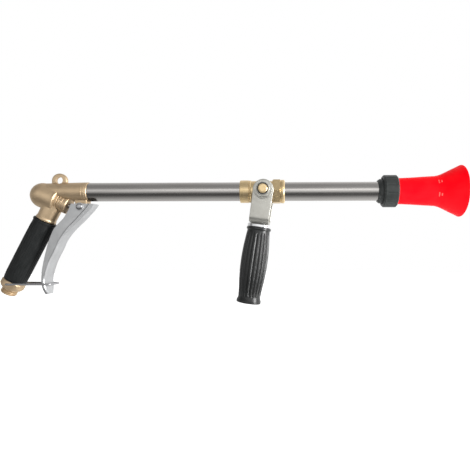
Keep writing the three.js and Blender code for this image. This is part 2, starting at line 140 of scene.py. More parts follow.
def rounded(outline, arcSteps=5):
    # outline of [x, r] or [x, r, fillet]; each fillet is an arc that meets both of its sides, with a
    # point just beyond each end so that the flat stays flat
    pts = [np.array(p[:2], float) for p in outline]
    fillets = [p[2] if len(p) > 2 else 0.0 for p in outline]
    out = []
    for k, (p, f) in enumerate(zip(pts, fillets)):
        before, after = pts[k - 1], pts[(k + 1) % len(pts)]
        u, v = before - p, after - p
        lu, lv = np.linalg.norm(u), np.linalg.norm(v)
        if f <= 0 or lu < 1e-6 or lv < 1e-6:
            out.append(p[None])
            continue
        u, v = u / lu, v / lv
        half = 0.5 * math.acos(float(np.clip(u @ v, -1, 1)))
        if half > 1.5:
            out.append(p[None])
            continue
        reach = min(f / math.tan(half), 0.45 * lu, 0.45 * lv)
        radius = reach * math.tan(half)
        centre = p + (u + v) / np.linalg.norm(u + v) * (radius / math.sin(half))
        start, end = p + u * reach - centre, p + v * reach - centre
        t = np.linspace(0, 1, arcSteps + 1)[:, None]
        arc = start * (1 - t) + end * t
        arc = centre + arc / np.linalg.norm(arc, axis=1)[:, None] * radius
        ease = 0.12 * reach
        out.append(np.vstack([p + u * (reach + ease), arc, p + v * (reach + ease)]))
    return np.vstack(out)


def turnedPiece(name, outline, axes, material, segments=96, shapeOf=None):
    # a closed outline of [distance, radius] carried round the axis; shapeOf(x, r, angle) may change
    # the radius
    profile = rounded(outline)
    angle = np.linspace(0, 2 * math.pi, segments, endpoint=False)
    x = np.repeat(profile[:, :1], segments, 1)
    r = np.repeat(profile[:, 1:], segments, 1)
    if shapeOf is not None:
        r = shapeOf(x, r, angle[None, :])
    r = np.maximum(r, 0.0)
    faces = gridFaces(len(profile), segments, True, True)
    return makeMesh(name, axes, x, r * np.cos(angle), r * np.sin(angle), faces, material)


def sweptPiece(name, centres, firstAxis, secondAxis, section, axes, material, smoothAngle=35):
    # a section of [first, second] offsets, one closed loop for each centre, with both ends capped
    loops = (centres[:, None, :] + section[..., :1] * firstAxis[:, None, :]
             + section[..., 1:] * secondAxis[:, None, :])
    rows, columns = loops.shape[:2]
    faces = gridFaces(rows, columns, False, True).tolist()
    faces.append(list(range(columns)))
    faces.append(list(range((rows - 1) * columns, rows * columns))[::-1])
    return makeMesh(name, axes, loops[..., 0], loops[..., 1], loops[..., 2], faces, material, smoothAngle)


def through(outline, steps):
    # a smooth centripetal curve through given points
    p = np.array(outline, float)
    p = np.vstack([2 * p[0] - p[1], p, 2 * p[-1] - p[-2]])
    knots = np.concatenate([[0], np.cumsum(np.sqrt(np.linalg.norm(np.diff(p, axis=0), axis=1)))])
    t = np.linspace(knots[1], knots[-2], steps)
    k = np.clip(np.searchsorted(knots, t, side="right") - 1, 1, len(p) - 3)
    t0, t1, t2, t3 = (knots[k + i][:, None] for i in (-1, 0, 1, 2))
    p0, p1, p2, p3 = (p[k + i] for i in (-1, 0, 1, 2))
    s = t[:, None]
    a1 = (t1 - s) / (t1 - t0) * p0 + (s - t0) / (t1 - t0) * p1
    a2 = (t2 - s) / (t2 - t1) * p1 + (s - t1) / (t2 - t1) * p2
    a3 = (t3 - s) / (t3 - t2) * p2 + (s - t2) / (t3 - t2) * p3
    b1 = (t2 - s) / (t2 - t0) * a1 + (s - t0) / (t2 - t0) * a2
    b2 = (t3 - s) / (t3 - t1) * a2 + (s - t1) / (t3 - t1) * a3
    return (t2 - s) / (t2 - t1) * b1 + (s - t1) / (t2 - t1) * b2


def finishPiece(obj, body, slot, *nodes):
    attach(obj, body)
    if nodes:
        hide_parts(*nodes)


# Finishes. Scales are cells per millimetre along, across and up; heights are millimetres.
def surface(name, look, ownAxes=True):
    material = bpy.data.materials.new(name)
    material.use_nodes = True
    tree = material.node_tree
    shader = tree.nodes["Principled BSDF"]

    def node(kind, **values):
        made = tree.nodes.new(kind)
        for key, value in values.items():
            setattr(made, key, value)
        return made

    if ownAxes:
        spot = node("ShaderNodeAttribute", attribute_name="lay").outputs["Vector"]
        toMm = 1.0
    else:
        spot = node("ShaderNodeTexCoord").outputs["Object"]
        toMm = 1000.0

    def noise(scale, detail=4.0, warp=0.0, rough=0.55):
        mapping = node("ShaderNodeMapping")
        mapping.inputs["Scale"].default_value = [v * toMm for v in scale]
        tree.links.new(spot, mapping.inputs["Vector"])
        texture = node("ShaderNodeTexNoise")
        texture.inputs["Scale"].default_value = 1.0
        texture.inputs["Detail"].default_value = detail
        texture.inputs["Roughness"].default_value = rough
        texture.inputs["Distortion"].default_value = warp
        tree.links.new(mapping.outputs[0], texture.inputs["Vector"])
        return texture.outputs["Fac"]

    def ranged(value, low, high, fromLow=0.3, fromHigh=0.7):
        remap = node("ShaderNodeMapRange")
        limits = {"From Min": fromLow, "From Max": fromHigh, "To Min": low, "To Max": high}
        for socket, number in limits.items():
            remap.inputs[socket].default_value = number
        tree.links.new(value, remap.inputs["Value"])
        return remap.outputs[0]

    def mixColour(factor, first, second):
        mix = node("ShaderNodeMix", data_type="RGBA")
        tree.links.new(factor, mix.inputs["Factor"])
        # a colour mix uses the node's inputs 6 and 7 and its output 2
        for target, colour in ((mix.inputs[6], first), (mix.inputs[7], second)):
            if isinstance(colour, tuple):
                target.default_value = (*colour, 1.0)
            else:
                tree.links.new(colour, target)
        return mix.outputs[2]

    blotches = ranged(noise(look["blotch"], 5.0, 0.4), 0.0, 1.0)
    colour = mixColour(blotches, look["colour"], look["colour2"])
    grain = noise(look["grain"], 6.0, 0.0, 0.6)
    roughness = ranged(grain, look["rough"][0], look["rough"][1])
    if "specks" in look:
        mask = ranged(noise(look["specks"]["scale"], 2.0), 0.0, 1.0, *look["specks"]["edge"])
        colour = mixColour(mask, colour, look["specks"]["colour"])
    if "worn" in look:
        pointy = node("ShaderNodeNewGeometry").outputs["Pointiness"]
        edge = ranged(pointy, 0.0, look["worn"]["amount"], *look["worn"]["edge"])
        broken = node("ShaderNodeMath", operation="MULTIPLY")
        tree.links.new(edge, broken.inputs[0])
        tree.links.new(ranged(noise((0.5, 0.5, 0.5), 5.0), 0.2, 1.0), broken.inputs[1])
        colour = mixColour(broken.outputs[0], colour, look["worn"]["colour"])
    tree.links.new(colour, shader.inputs["Base Color"])
    tree.links.new(roughness, shader.inputs["Roughness"])
    shader.inputs["Metallic"].default_value = look["metal"]
    shader.inputs["Specular IOR Level"].default_value = look.get("specular", 0.5)
    if "glow" in look:
        # a little light of its own stands in for light that scatters inside the plastic
        shader.inputs["Emission Color"].default_value = (*look["colour"], 1.0)
        shader.inputs["Emission Strength"].default_value = look["glow"]
    bump = node("ShaderNodeBump")
    bump.inputs["Strength"].default_value = 1.0
    bump.inputs["Distance"].default_value = look["height"] * mm
    tree.links.new(grain, bump.inputs["Height"])
    normal = bump.outputs["Normal"]
    if "lines" in look:
        lines = node("ShaderNodeBump")
        lines.inputs["Strength"].default_value = 1.0
        lines.inputs["Distance"].default_value = look["lines"]["height"] * mm
        tree.links.new(noise(look["lines"]["scale"], 3.0), lines.inputs["Height"])
        tree.links.new(normal, lines.inputs["Normal"])
        normal = lines.outputs["Normal"]
    tree.links.new(normal, shader.inputs["Normal"])
    return material


looks = {
    # lighter red for the raised setting marks: a painted highlight where they catch the light
    "redPaintedHighlight": {
        "colour": (1.0, 0.09, 0.08), "colour2": (1.0, 0.14, 0.12),
        "metal": 0.0, "rough": (0.4, 0.5),
        "blotch": (0.2, 0.2, 0.2), "grain": (1.6, 1.6, 1.6), "height": 0.01, "specular": 0.3,
    },
    "castBrass": {
        "colour": (0.62, 0.47, 0.30), "colour2": (0.52, 0.39, 0.25),
        "metal": 0.85, "rough": (0.36, 0.5),
        "blotch": (0.07, 0.07, 0.07), "grain": (1.5, 1.5, 1.5), "height": 0.05,
        "worn": {"edge": (0.52, 0.6), "amount": 0.6, "colour": (0.66, 0.48, 0.28)},
        "specks": {"scale": (0.8, 0.8, 0.8), "edge": (0.68, 0.78), "colour": (0.24, 0.16, 0.09)},
    },
    "turnedBrass": {
        "colour": (0.80, 0.62, 0.36), "colour2": (0.70, 0.53, 0.29),
        "metal": 0.9, "rough": (0.3, 0.44),
        "blotch": (0.12, 0.08, 0.08), "grain": (5.0, 0.15, 0.15), "height": 0.012,
        "worn": {"edge": (0.53, 0.62), "amount": 0.5, "colour": (0.85, 0.66, 0.40)},
    },
    "castAluminium": {
        "colour": (0.50, 0.505, 0.51), "colour2": (0.42, 0.425, 0.43),
        "metal": 0.9, "rough": (0.28, 0.4),
        "blotch": (0.06, 0.1, 0.06), "grain": (1.8, 1.8, 1.8), "height": 0.045,
        "worn": {"edge": (0.52, 0.6), "amount": 0.6, "colour": (0.7, 0.71, 0.72)},
        "specks": {"scale": (1.1, 1.1, 1.1), "edge": (0.66, 0.76), "colour": (0.22, 0.22, 0.22)},
    },
    "tubeSteel": {
        "colour": (0.51, 0.495, 0.475), "colour2": (0.43, 0.41, 0.395),
        "metal": 1.0, "rough": (0.18, 0.30),
        "blotch": (0.012, 0.25, 0.25), "grain": (0.06, 4.0, 4.0), "height": 0.01,
        "lines": {"scale": (0.01, 1.2, 1.2), "height": 0.012},
    },
    "brightSteel": {
        "colour": (0.47, 0.47, 0.48), "colour2": (0.38, 0.38, 0.39),
        "metal": 1.0, "rough": (0.2, 0.34),
        "blotch": (0.2, 0.2, 0.2), "grain": (3.0, 0.4, 0.4), "height": 0.01,
    },
    "zincPlate": {
        "colour": (0.50, 0.495, 0.455), "colour2": (0.43, 0.42, 0.38),
        "metal": 0.85, "rough": (0.32, 0.46),
        "blotch": (0.08, 0.08, 0.08), "grain": (0.4, 3.0, 0.4), "height": 0.012,
        "worn": {"edge": (0.53, 0.62), "amount": 0.5, "colour": (0.62, 0.61, 0.58)},
    },
    "chrome": {
        "colour": (0.82, 0.82, 0.83), "colour2": (0.76, 0.76, 0.77),
        "metal": 1.0, "rough": (0.06, 0.14),
        "blotch": (0.1, 0.1, 0.1), "grain": (0.5, 0.5, 0.5), "height": 0.003,
    },
    "gripRubber": {
        "colour": (0.009, 0.010, 0.010), "colour2": (0.017, 0.018, 0.018),
        "metal": 0.0, "rough": (0.36, 0.52),
        "blotch": (0.05, 0.15, 0.15), "grain": (2.6, 2.6, 2.6), "height": 0.035, "specular": 0.1,
        "specks": {"scale": (0.6, 0.6, 0.6), "edge": (0.72, 0.8), "colour": (0.05, 0.05, 0.05)},
    },
    "glossRubber": {
        "colour": (0.006, 0.0065, 0.0065), "colour2": (0.012, 0.0125, 0.0125),
        "metal": 0.0, "rough": (0.26, 0.38),
        "blotch": (0.05, 0.15, 0.15), "grain": (2.2, 2.2, 2.2), "height": 0.02, "specular": 0.45,
        "specks": {"scale": (0.6, 0.6, 0.6), "edge": (0.74, 0.82), "colour": (0.04, 0.04, 0.04)},
    },
    "sealRubber": {
        "colour": (0.02, 0.02, 0.02), "colour2": (0.032, 0.032, 0.032),
        "metal": 0.0, "rough": (0.55, 0.7),
        "blotch": (0.3, 0.3, 0.3), "grain": (3.0, 3.0, 3.0), "height": 0.02,
    },
    "blackPlastic": {
        "colour": (0.022, 0.025, 0.024), "colour2": (0.034, 0.037, 0.036),
        "metal": 0.0, "rough": (0.34, 0.5), "specular": 0.25,
        "blotch": (0.08, 0.08, 0.08), "grain": (2.2, 2.2, 2.2), "height": 0.025,
        "worn": {"edge": (0.53, 0.62), "amount": 0.35, "colour": (0.12, 0.12, 0.12)},
    },
    "redPlastic": {
        "colour": (0.9, 0.0, 0.006), "colour2": (1.0, 0.006, 0.012),
        "metal": 0.0, "rough": (0.36, 0.48),
        "blotch": (0.04, 0.04, 0.04), "grain": (1.6, 1.6, 1.6), "height": 0.012, "specular": 0.04,
        "glow": 0.2,
        "specks": {"scale": (0.45, 0.45, 0.45), "edge": (0.74, 0.82), "colour": (0.70, 0.004, 0.01)},
    },
}
finishes = {key: surface(key, look) for key, look in looks.items()}
print("finishes made")

# CAD pieces that keep their own shape take the same finishes, laid out on the object
cadLooks = {"cast_brass": "castBrass", "turned_brass": "turnedBrass", "cast_aluminium": "castAluminium",
            "steel": "brightSteel", "tube_steel": "tubeSteel", "zinc": "zincPlate", "chrome": "chrome",
            "grip_rubber": "gripRubber", "seal_rubber": "sealRubber", "black_plastic": "blackPlastic",
            "red_plastic": "redPlastic"}
cadFinishes = {slot: surface(look + "Solid", looks[look], ownAxes=False)
               for slot, look in cadLooks.items()}
for part in frame["record"]["subparts"]:
    solid = frame["nodes"][part["node"]]
    solid.data.materials.clear()
    solid.data.materials.append(cadFinishes[part["material_slot"]])


# Lance tubes: straight, with a small chamfer at the open ends
tubes = {"radius": 12.5, "bore": 10.5, "rearStart": -236.7, "rearEnd": -17.0,
         "frontStart": 15.0, "frontEnd": 158.0, "spigot": 10.0, "spigotStart": -255.0, "spigotBore": 8.0}


def lanceTubes():
    t = tubes
    rear = turnedPiece("rearTube", [
        [t["spigotStart"], t["spigotBore"]], [t["spigotStart"], t["spigot"], 0.6],
        [t["rearStart"], t["spigot"]], [t["rearStart"], t["radius"], 0.4],
        [t["rearEnd"], t["radius"], 0.4], [t["rearEnd"], t["bore"]],
        [t["rearStart"] + 2, t["bore"]], [t["rearStart"], t["spigotBore"]]],
        lanceAxes, finishes["tubeSteel"])
    finishPiece(rear, "lance", "tube_steel", "rear_tube")
    front = turnedPiece("frontTube", [
        [t["frontStart"], t["bore"]], [t["frontStart"], t["radius"], 0.4],
        [t["frontEnd"], t["radius"], 0.4], [t["frontEnd"], t["bore"]]], lanceAxes, finishes["tubeSteel"])
    finishPiece(front, "lance", "tube_steel", "front_tube")


lanceTubes()
print("tubes made")


# Nozzle end: fixed body, twist ring with wide shallow flutes, jet tip and the flared shroud
ring = {"start": 155.8, "end": 174.7, "radius": 21.1, "bore": 17.0, "bevel": 1.7, "flutes": 12,
        "depth": 0.55}
shroud = {"start": 175.0, "end": 257.7, "neck": 17.0, "waist": 19.6, "waistAt": 223.6, "rim": 34.1,
          "wall": 2.5, "flare": [[229, 20.9], [236, 23.9], [244, 27.9], [251, 31.2]]}


def fluteOf(angle, count, width):
    # 0 on the land and 1 in the middle of a narrow rounded groove, count times round
    away = np.abs((angle * count / (2 * math.pi) + 0.5) % 1.0 - 0.5) / width
    return np.where(away < 1, 0.5 + 0.5 * np.cos(math.pi * np.minimum(away, 1)), 0.0)


def nozzleEnd():
    body = turnedPiece("nozzleBody", [
        [149.5, 12.8], [149.5, 14.2, 0.6], [152.0, 16.0, 0.8], [172, 16, 0.5],
        [172, 10.2], [183.5, 10.2], [183.5, 8.9], [186.5, 8.9], [186.5, 10.2], [192, 10.2, 0.4], [192, 7.8],
        [158.3, 7.8], [158.3, 12.8]], lanceAxes, finishes["blackPlastic"])
    finishPiece(body, "lance", "black_plastic", "nozzle_body")

    def grooves(x, r, angle):
        inside = (np.clip((x - ring["start"] - 1.2) / 2.0, 0, 1)
                  * np.clip((ring["end"] - 1.2 - x) / 2.0, 0, 1))
        cut = ring["depth"] * inside * fluteOf(angle - 0.22, ring["flutes"], 0.09)
        return np.where(r > 18, r - cut, r)

    steps = np.linspace(ring["start"] + 2.2, ring["end"] - 2.2, 12)
    nut = turnedPiece("ringNut", [
        [ring["start"], ring["bore"]], [ring["start"], ring["radius"] - ring["bevel"], 0.5],
        [ring["start"] + ring["bevel"], ring["radius"], 0.5], *[[x, ring["radius"]] for x in steps],
        [ring["end"] - ring["bevel"], ring["radius"], 0.5],
        [ring["end"], ring["radius"] - ring["bevel"], 0.5],
        [ring["end"], ring["bore"]]], lanceAxes, finishes["blackPlastic"], 288, grooves)
    finishPiece(nut, "twist_head", "black_plastic", "ring_nut")

    s = shroud
    flare = through([[s["waistAt"], s["waist"]], *s["flare"], [s["end"] - 1.9, s["rim"] - 0.5]], 40)
    neck = through([[s["start"], s["neck"]], [190, 17.6], [208, 18.7], [s["waistAt"], s["waist"]]], 24)
    inner = flare[::-1] + np.array([0.9, -s["wall"]])
    # the rim is half a circle from the flare's last point to the inside's first
    rimArc = np.linspace(0, math.pi, 12)[1:-1, None]
    middle, half = (flare[-1] + inner[0]) / 2, (flare[-1] - inner[0]) / 2
    rim = middle + np.cos(rimArc) * half + np.sin(rimArc) * np.array([abs(half[1]), -half[0]])
    spigot = [[172.6, 15.4], [172.6, 16.6], [s["start"] - 0.2, 16.6], [s["start"] - 0.15, s["neck"] - 0.4]]
    outline = np.vstack([spigot, neck, flare[1:], rim, inner, [[206, 15.9], [194, 15.4]]])
    cone = turnedPiece("redShroud", outline.tolist(), lanceAxes, finishes["redPlastic"], 192)
    finishPiece(cone, "twist_head", "red_plastic", "red_shroud")

    tip = turnedPiece("jetTip", [
        [196.4, 4.6], [196.4, 9.1, 0.3], [203, 9.1, 0.6], [206.5, 6.2, 0.5], [206.5, 2.2, 0.3], [201, 2.2]],
        lanceAxes, finishes["turnedBrass"])
    finishPiece(tip, "twist_head", "turned_brass", "jet_tip")


# Raised marks on the shroud, one long and one short for each spray setting; their lighter red is a painted
# highlight
marks = {"at": [(226.0, 31), (226.0, -19)], "long": 6.4, "short": 3.6, "wide": 1.5, "gap": 3.2,
         "high": 0.6, "sunk": 0.12, "meanRadius": 22.0}


def settingMarks():
    m = marks
    shape = np.array([[shroud["waistAt"], shroud["waist"]], *shroud["flare"]])
    for index, (x, degrees) in enumerate(m["at"]):
        for side, length in ((-1, m["long"]), (1, m["short"])):
            centre = x + side * m["gap"] / 2
            u, v = np.meshgrid(np.linspace(-1, 1, 9), np.linspace(-1, 1, 21))
            rise = (np.sqrt(np.clip(1 - np.abs(u) ** 3, 0, 1))
                    * np.sqrt(np.clip(1 - np.abs(v) ** 6, 0, 1)))
            px = centre + u * m["wide"] / 2
            angle = math.radians(degrees) + v * length / 2 / m["meanRadius"]
            base = np.interp(px, shape[:, 0], shape[:, 1]) - m["sunk"]
            r = base + m["high"] * rise
            name = "settingMark" + str(index) + ("Long" if side < 0 else "Short")
            # the bars take the lighter red, a painted highlight on the raised marks
            bar = makeMesh(name, lanceAxes, px, -r * np.cos(angle), r * np.sin(angle),
                           gridFaces(21, 9, False, False), finishes["redPaintedHighlight"], 60)
            finishPiece(bar, "twist_head", "red_plastic")


nozzleEnd()
settingMarks()
print("nozzle end made")


# Mid fitting: round collar with a groove, hexagon with turned corners, rim, and a boss for each stud
fitting = {"left": -31.7, "right": 27.6, "collar": 15.0, "middle": 14.0, "hexStart": 11.3,
           "hexEnd": 22.4, "hexFlat": 15.0, "rim": 15.6, "boss": 9.5, "bossEnd": 20.0}


def hexRadius(angle, flat):
    # distance to a hexagon's side in each direction, with a corner at angle 0
    return flat / np.cos(angle % (math.pi / 3) - math.pi / 6)


def midFitting():
    f = fitting
    hexAt = np.linspace(f["hexStart"], f["hexEnd"], 14)

    def hexagon(x, r, angle):
        corner = f["hexFlat"] / math.cos(math.pi / 6)
        nearEnd = np.minimum(x - f["hexStart"], f["hexEnd"] - x)
        cone = corner - 1.9 + nearEnd * 1.7
        inside = (x > f["hexStart"] - 1e-3) & (x < f["hexEnd"] + 1e-3) & (r > 13)
        return np.where(inside, np.minimum(hexRadius(angle, f["hexFlat"]), cone), r)

    body = turnedPiece("midFitting", [
        [f["left"], 12.8], [f["left"], f["collar"], 0.9], [-20.0, f["collar"], 0.3],
        [-19.7, f["collar"] - 0.7], [-18.9, f["collar"] - 0.7], [-18.6, f["collar"], 0.3],
        [-18.0, f["collar"], 0.4], [-17.2, f["middle"], 0.3], [f["hexStart"] - 0.4, f["middle"]],
        *[[x, f["hexFlat"]] for x in hexAt], [f["hexEnd"] + 0.3, 14.4], [f["hexEnd"] + 0.5, f["rim"], 0.5],
        [f["right"] - 1.4, f["rim"], 0.5], [f["right"], 14.0, 0.3],
        [f["right"], 12.8], [14.7, 12.8], [14.7, 9], [-16.7, 9], [-16.7, 12.8]],
        lanceAxes, finishes["turnedBrass"], 240, hexagon)
    finishPiece(body, "lance", "turned_brass", "mid_fitting")
    for side, sign in (("near", -1), ("far", 1)):
        boss = turnedPiece(side + "Boss", [
            [sign * 11, 6.3], [sign * 11, f["boss"]], [sign * f["bossEnd"], f["boss"], 0.7],
            [sign * f["bossEnd"], 6.3, 0.3]], studAxes, finishes["turnedBrass"], 72)
        finishPiece(boss, "lance", "turned_brass")


# Side handle: a threaded stud, washer, lock nut and nylon insert each side, and the bent strap
studs = {"radius": 6.0, "pitch": 1.75, "start": 11.8, "end": 36.9, "washer": 12.0,
         "washerAt": (24.6, 26.0), "nutAt": (26.3, 34.3), "nutFlat": 9.5, "insert": 7.6}
strap = {"inside": 20.3, "thick": 4.0, "half": 12.8, "eye": 13.4, "drop": 43.0, "bend": 5.0, "edge": 0.7}


def threadOf(x, angle, pitch, depth):
    # a ridge that climbs one pitch each turn round, rounded at its crest and root
    turn = (x / pitch - angle / (2 * math.pi)) % 1.0
    return -depth * (0.5 + 0.5 * np.cos(2 * math.pi * turn)) ** 0.8


def studHardware():
    s = studs
    for side, sign in (("near", -1), ("far", 1)):
        along = np.linspace(s["start"] + 0.6, s["end"] - 1.3, 150)

        def thread(x, r, angle):
            middle = (np.abs(x) > s["start"] + 0.5) & (np.abs(x) < s["end"] - 1.2) & (r > 5)
            return np.where(middle, r + threadOf(np.abs(x), angle, s["pitch"], 0.8), r)

        stud = turnedPiece(side + "Stud", [
            [sign * s["start"], 0], [sign * s["start"], s["radius"] - 0.9, 0.2],
            *[[sign * x, s["radius"]] for x in along],
            [sign * (s["end"] - 0.2), s["radius"] - 1.1, 0.3], [sign * s["end"], s["radius"] - 2.2, 0.3],
            [sign * s["end"], 0]], studAxes, finishes["turnedBrass"], 64, thread)
        finishPiece(stud, "lance", "turned_brass", side + "_stud")
        low, high = s["washerAt"]
        washer = turnedPiece(side + "Washer", [
            [sign * low, 6.3], [sign * low, s["washer"], 0.3], [sign * high, s["washer"], 0.4],
            [sign * high, 6.3, 0.2]], studAxes, finishes["zincPlate"], 96)
        finishPiece(washer, "side_handle", "zinc", side + "_washer")
        low, high = s["nutAt"]

        def nutShape(x, r, angle):
            flat = hexRadius(angle - math.pi / 2, s["nutFlat"])
            fromEnd = np.minimum(np.abs(x) - low, high - np.abs(x))
            cone = s["nutFlat"] - 0.1 + np.maximum(fromEnd, 0) * 1.75
            return np.where(r > 8.5, np.minimum(flat, cone), r)

        body = np.linspace(low, high - 1.2, 14)
        nut = turnedPiece(side + "LockNut", [
            [sign * low, 6.3], *[[sign * x, s["nutFlat"]] for x in body],
            [sign * (high - 1.1), 8.4, 0.2], [sign * high, 8.1, 0.6], [sign * high, s["insert"]],
            [sign * (high - 1.4), s["insert"]], [sign * (high - 1.4), 6.3]],
            studAxes, finishes["zincPlate"], 192, nutShape)
        finishPiece(nut, "lance", "zinc", side + "_lock_nut")
        insert = turnedPiece(side + "NutInsert", [
            [sign * (high - 1.3), 6.2], [sign * (high - 1.3), s["insert"] - 0.05],
            [sign * (high - 0.25), s["insert"] - 0.05, 0.3], [sign * (high - 0.25), 6.2, 0.2]],
            studAxes, finishes["sealRubber"], 72)
        finishPiece(insert, "lance", "seal_rubber")


def handleStrap():
    # a flat bar carried down one leg, round two bends and up the other; its ends are round eyes
    s = strap
    middle = s["inside"] + s["thick"] / 2
    bottom = s["drop"] - s["thick"] / 2
    r = s["bend"]
    leg = np.concatenate([-s["eye"] * np.cos(np.linspace(0.04, math.pi / 2, 26)),
                          np.linspace(1, bottom - r, 24)])
    turn = np.linspace(0, math.pi / 2, 12)[1:]
    down = np.stack([leg, np.full(len(leg), middle)], 1)
    corner = np.stack([bottom - r + r * np.sin(turn), middle - r + r * np.cos(turn)], 1)
    flat = np.stack([np.full(9, bottom), np.linspace(middle - r, 0, 10)[1:]], 1)
    halfPath = np.vstack([down, corner, flat])
    path = np.vstack([halfPath, halfPath[-2::-1] * [1, -1]])
    tangent = np.gradient(path, axis=0)
    tangent /= np.linalg.norm(tangent, axis=1)[:, None]
    normal = np.stack([-tangent[:, 1], tangent[:, 0]], 1)
    width = np.where(path[:, 0] < 0, np.sqrt(np.maximum(s["eye"] ** 2 - path[:, 0] ** 2, 0.04)),
                     s["half"] + (s["eye"] - s["half"]) * np.exp(-path[:, 0] / 9))
    corners = np.array([[1, 1], [1, -1], [-1, -1], [-1, 1]])
    edge = s["edge"]
    arc = np.linspace(math.pi / 2, 0, 5)
    section = []
    for k, (signW, signT) in enumerate(corners):
        sweep = arc if k % 2 == 0 else arc[::-1]
        section.append(np.stack([np.full(5, signW), np.full(5, signT),
                                 edge * np.cos(sweep), edge * np.sin(sweep)], 1))
    section = np.vstack(section)
    centres = np.stack([path[:, 0], path[:, 1], np.zeros(len(path))], 1)
    normalAt = np.stack([normal[:, 0], normal[:, 1], np.zeros(len(path))], 1)
    small = np.minimum(1.0, width / 3)[:, None]
    across = section[:, 0] * (width[:, None] - edge * small + section[:, 2] * small)
    depthwise = section[:, 1] * (s["thick"] / 2 - edge + section[:, 3])
    loops = np.stack([across, np.broadcast_to(depthwise, across.shape)], -1)
    up = np.broadcast_to(np.array([0.0, 0.0, 1.0]), centres.shape)
    obj = sweptPiece("handleStrap", centres, up, normalAt, loops, handleAxes, finishes["zincPlate"], 50)
    finishPiece(obj, "side_handle", "zinc", "handle_strap")


# Side grip: barrel with long round-ended flutes, a lip at the top and a flared foot
sideGrip = {"top": 48.5, "length": 101.3, "flutes": 20, "fluteStart": 6.5, "fluteEnd": 93.0,
            "depth": 1.15}


def sideGripPieces():
    g = sideGrip
    top, end = g["top"], g["top"] + g["length"]
    cap = turnedPiece("gripCapWasher", [
        [43.3, 4.3], [43.3, 14.4, 0.8], [44.9, 15.6, 0.8], [48.2, 15.6, 0.5], [48.2, 4.3]],
        handleAxes, finishes["chrome"], 96)
    finishPiece(cap, "side_handle", "chrome", "grip_cap_washer")

    barrel = through([[top + 4.6, 15.0], [top + 12, 15.8], [top + 28, 17.3], [top + 46, 17.9],
                      [top + 66, 17.2], [top + 84, 15.4], [top + 93, 14.8]], 90)

    def flutes(x, r, angle):
        start, stop = top + g["fluteStart"], top + g["fluteEnd"]
        ends = np.clip((x - start) / 5.0, 0, 1) * np.clip((stop - x) / 5.0, 0, 1)
        reach = np.sqrt(np.clip(ends, 0, 1))
        width = 0.36 * np.maximum(reach, 0.05)
        on = (x > start) & (x < stop) & (r > 12)
        return np.where(on, r - g["depth"] * reach * fluteOf(angle, g["flutes"], width), r)

    grip = turnedPiece("sideGrip", [
        [top, 5], [top, 16.2, 0.8], [top + 2.8, 16.2, 0.8], [top + 3.8, 15.1], *barrel.tolist(),
        [end - 6.4, 15.1], [end - 3.4, 16.3, 0.9], [end - 0.6, 16.3, 0.5], [end, 15.4, 0.4], [end, 0],
        [140, 0], [140, 5]], handleAxes, finishes["glossRubber"], 320, flutes)
    finishPiece(grip, "side_handle", "grip_rubber", "side_grip")


# Rear grip: sleeve with faint ribs and a thin lip, then the threaded inlet ferrule
rearGrip = {"length": 92.4, "bore": 9.3, "ribs": 30, "ribHeight": 0.22}
ferrule = {"start": 92.7, "shoulder": 15.3, "thread": 10.4, "end": 112.0, "bore": 7.2, "pitch": 1.81}


def rearGripPieces():
    g = rearGrip
    body = through([[4.2, 14.55], [14, 14.7], [30, 14.85], [60, 14.8], [80, 14.7],
                    [g["length"] - 3, 14.6]], 60)

    def ribs(x, r, angle):
        ends = np.clip((x - 7) / 4, 0, 1) * np.clip((g["length"] - 5 - x) / 4, 0, 1)
        return np.where(r > 12, r + g["ribHeight"] * ends * np.cos(angle * g["ribs"]), r)

    sleeve = turnedPiece("rearGripSleeve", [
        [0, g["bore"]], [0, 15.4, 0.7], [2.6, 15.4, 0.7], [3.4, 14.6], *body.tolist(),
        [g["length"], 14.2, 1.0], [g["length"], g["bore"]]], gripAxes, finishes["gripRubber"], 240, ribs)
    finishPiece(sleeve, "lance", "grip_rubber", "rear_grip_sleeve")

    f = ferrule
    threadAt = np.linspace(106.3, f["end"] - 1.2, 60)

    def thread(x, r, angle):
        on = (x > 106.2) & (x < f["end"] - 1.1) & (r > 9.5)
        return np.where(on, r + threadOf(x, angle, f["pitch"], 1.0), r)

    inlet = turnedPiece("inletFerrule", [
        [f["start"], g["bore"]], [f["start"], 14.3, 0.4], [94.6, f["shoulder"], 0.6],
        [99.8, f["shoulder"], 1.6], [103.2, 13.0, 1.4], [104.0, 10.6, 0.3], [104.4, 9.2, 0.3],
        [105.6, 9.2, 0.3],
        *[[x, f["thread"]] for x in threadAt], [f["end"] - 0.9, 9.9], [f["end"], 9.2, 0.3],
        [f["end"], f["bore"], 0.3], [98.3, f["bore"]], [98.3, g["bore"]]],
        gripAxes, finishes["castBrass"], 128, thread)
    finishPiece(inlet, "lance", "cast_brass", "inlet_ferrule")


midFitting()
studHardware()
handleStrap()
sideGripPieces()
rearGripPieces()
print("fitting, side handle and rear grip made")


# Lock bail: one wire, hooked into the ferrule's sides and bent round the trigger's toe
bail = {"wire": 1.38, "side": [[0, 11.5], [0, 15.2], [0.7, 17.0], [2.8, 17.5], [16, 16.6], [34, 15.4],
                              [49, 14.2], [54.5, 13.2], [57.6, 10.4], [58.5, 6]]}


